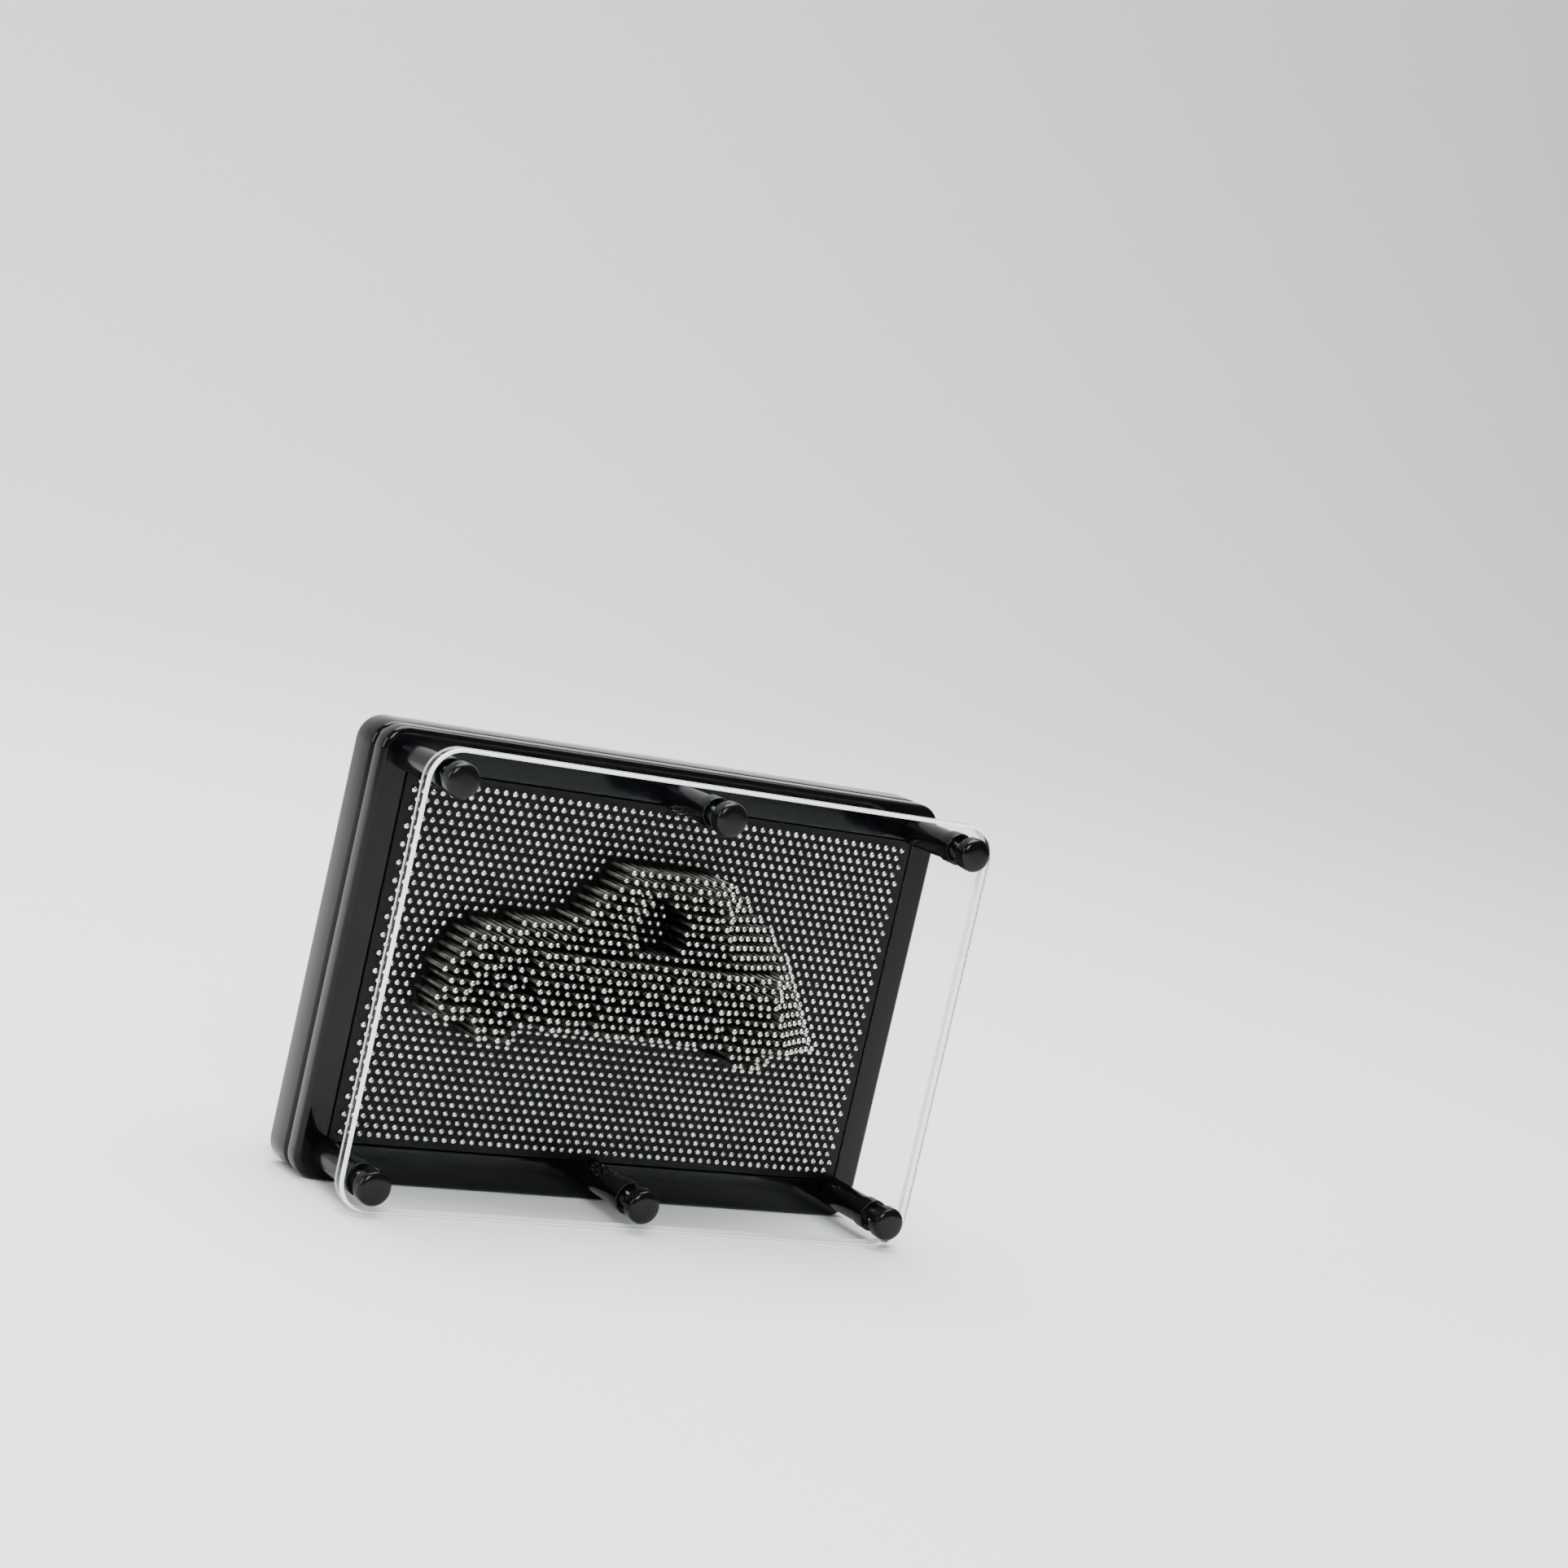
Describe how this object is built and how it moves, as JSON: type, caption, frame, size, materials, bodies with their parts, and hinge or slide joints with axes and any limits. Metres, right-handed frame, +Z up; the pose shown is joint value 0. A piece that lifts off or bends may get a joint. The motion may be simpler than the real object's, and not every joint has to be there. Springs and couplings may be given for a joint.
{
  "type": "pin art impression toy",
  "caption": "Upright black frame holding a bed of sliding steel pins behind a clear front window on round posts, for taking impressions.",
  "frame": {"origin": "centre of the footprint, on the plane of the long lower edge that the toy stands on", "axes": "+X along the long edge to the viewer's right, -Y out of the clear window towards the viewer, +Z up along the short edge"},
  "size_m": [0.127, 0.0472, 0.087],
  "materials": {
    "frame_black": "gloss injection-moulded",
    "plate": "satin",
    "window": "clear cast acrylic, polished edges",
    "steel": "bright nickel-plated",
    "screw_steel": "black oxide"
  },
  "bodies": {
    "frame": {"front_frame": "frame_black", "rear_frame": "frame_black", "clear_window": "window", "spacer_post_1": "frame_black", "window_cap_1": "frame_black", "frame_screw_1": "screw_steel", "spacer_post_2": "frame_black", "window_cap_2": "frame_black", "frame_screw_2": "screw_steel", "spacer_post_3": "frame_black", "window_cap_3": "frame_black", "frame_screw_3": "screw_steel", "spacer_post_4": "frame_black", "window_cap_4": "frame_black", "frame_screw_4": "screw_steel", "spacer_post_5": "frame_black", "window_cap_5": "frame_black", "frame_screw_5": "screw_steel", "spacer_post_6": "frame_black", "window_cap_6": "frame_black", "frame_screw_6": "screw_steel", "front_pin_plate": "plate", "rear_pin_plate": "plate"},
    "pins_above_1": {"pins_above_1": "steel"},
    "pins_below_1": {"pins_below_1": "steel"},
    "pins_above_2": {"pins_above_2": "steel"},
    "pins_below_2": {"pins_below_2": "steel"},
    "pins_above_3": {"pins_above_3": "steel"},
    "pins_below_3": {"pins_below_3": "steel"},
    "pins_above_4": {"pins_above_4": "steel"},
    "pins_below_4": {"pins_below_4": "steel"},
    "pins_above_5": {"pins_above_5": "steel"},
    "pins_below_5": {"pins_below_5": "steel"},
    "pins_above_6": {"pins_above_6": "steel"},
    "pins_below_6": {"pins_below_6": "steel"},
    "pins_above_7": {"pins_above_7": "steel"},
    "pins_below_7": {"pins_below_7": "steel"},
    "pins_above_8": {"pins_above_8": "steel"},
    "pins_below_8": {"pins_below_8": "steel"},
    "pins_body_1": {"pins_body_1": "steel"},
    "pins_body_2": {"pins_body_2": "steel"},
    "pins_body_3": {"pins_body_3": "steel"},
    "pins_body_4": {"pins_body_4": "steel"},
    "pins_body_5": {"pins_body_5": "steel"},
    "pins_body_6": {"pins_body_6": "steel"},
    "pins_cabin_1": {"pins_cabin_1": "steel"},
    "pins_cabin_2": {"pins_cabin_2": "steel"},
    "pins_cabin_3": {"pins_cabin_3": "steel"},
    "pins_cabin_4": {"pins_cabin_4": "steel"},
    "pins_porthole": {"pins_porthole": "steel"}
  },
  "joints": [
    {"name": "pins_above_1_slide", "type": "slide", "parent": "frame", "child": "pins_above_1", "axis": [0, -1, 0], "range_m": [0, 0.0153]},
    {"name": "pins_below_1_slide", "type": "slide", "parent": "frame", "child": "pins_below_1", "axis": [0, -1, 0], "range_m": [0, 0.0153]},
    {"name": "pins_above_2_slide", "type": "slide", "parent": "frame", "child": "pins_above_2", "axis": [0, -1, 0], "range_m": [0, 0.0153]},
    {"name": "pins_below_2_slide", "type": "slide", "parent": "frame", "child": "pins_below_2", "axis": [0, -1, 0], "range_m": [0, 0.0153]},
    {"name": "pins_above_3_slide", "type": "slide", "parent": "frame", "child": "pins_above_3", "axis": [0, -1, 0], "range_m": [0, 0.0153]},
    {"name": "pins_below_3_slide", "type": "slide", "parent": "frame", "child": "pins_below_3", "axis": [0, -1, 0], "range_m": [0, 0.0153]},
    {"name": "pins_above_4_slide", "type": "slide", "parent": "frame", "child": "pins_above_4", "axis": [0, -1, 0], "range_m": [0, 0.0153]},
    {"name": "pins_below_4_slide", "type": "slide", "parent": "frame", "child": "pins_below_4", "axis": [0, -1, 0], "range_m": [0, 0.0153]},
    {"name": "pins_above_5_slide", "type": "slide", "parent": "frame", "child": "pins_above_5", "axis": [0, -1, 0], "range_m": [0, 0.0153]},
    {"name": "pins_below_5_slide", "type": "slide", "parent": "frame", "child": "pins_below_5", "axis": [0, -1, 0], "range_m": [0, 0.0153]},
    {"name": "pins_above_6_slide", "type": "slide", "parent": "frame", "child": "pins_above_6", "axis": [0, -1, 0], "range_m": [0, 0.0153]},
    {"name": "pins_below_6_slide", "type": "slide", "parent": "frame", "child": "pins_below_6", "axis": [0, -1, 0], "range_m": [0, 0.0153]},
    {"name": "pins_above_7_slide", "type": "slide", "parent": "frame", "child": "pins_above_7", "axis": [0, -1, 0], "range_m": [0, 0.0153]},
    {"name": "pins_below_7_slide", "type": "slide", "parent": "frame", "child": "pins_below_7", "axis": [0, -1, 0], "range_m": [0, 0.0153]},
    {"name": "pins_above_8_slide", "type": "slide", "parent": "frame", "child": "pins_above_8", "axis": [0, -1, 0], "range_m": [0, 0.0153]},
    {"name": "pins_below_8_slide", "type": "slide", "parent": "frame", "child": "pins_below_8", "axis": [0, -1, 0], "range_m": [0, 0.0153]},
    {"name": "pins_body_1_slide", "type": "slide", "parent": "frame", "child": "pins_body_1", "axis": [0, -1, 0], "range_m": [-0.008, 0.0048]},
    {"name": "pins_body_2_slide", "type": "slide", "parent": "frame", "child": "pins_body_2", "axis": [0, -1, 0], "range_m": [-0.0102, 0.0036]},
    {"name": "pins_body_3_slide", "type": "slide", "parent": "frame", "child": "pins_body_3", "axis": [0, -1, 0], "range_m": [-0.0106, 0.0032]},
    {"name": "pins_body_4_slide", "type": "slide", "parent": "frame", "child": "pins_body_4", "axis": [0, -1, 0], "range_m": [-0.0108, 0.003]},
    {"name": "pins_body_5_slide", "type": "slide", "parent": "frame", "child": "pins_body_5", "axis": [0, -1, 0], "range_m": [-0.0106, 0.0032]},
    {"name": "pins_body_6_slide", "type": "slide", "parent": "frame", "child": "pins_body_6", "axis": [0, -1, 0], "range_m": [-0.0037, 0.0042]},
    {"name": "pins_cabin_1_slide", "type": "slide", "parent": "frame", "child": "pins_cabin_1", "axis": [0, -1, 0], "range_m": [-0.008, 0.0058]},
    {"name": "pins_cabin_2_slide", "type": "slide", "parent": "frame", "child": "pins_cabin_2", "axis": [0, -1, 0], "range_m": [-0.0082, 0.0056]},
    {"name": "pins_cabin_3_slide", "type": "slide", "parent": "frame", "child": "pins_cabin_3", "axis": [0, -1, 0], "range_m": [-0.0082, 0.0056]},
    {"name": "pins_cabin_4_slide", "type": "slide", "parent": "frame", "child": "pins_cabin_4", "axis": [0, -1, 0], "range_m": [-0.0034, 0.006]},
    {"name": "pins_porthole_slide", "type": "slide", "parent": "frame", "child": "pins_porthole", "axis": [0, -1, 0], "range_m": [-0.0018, 0.013]}
  ]
}
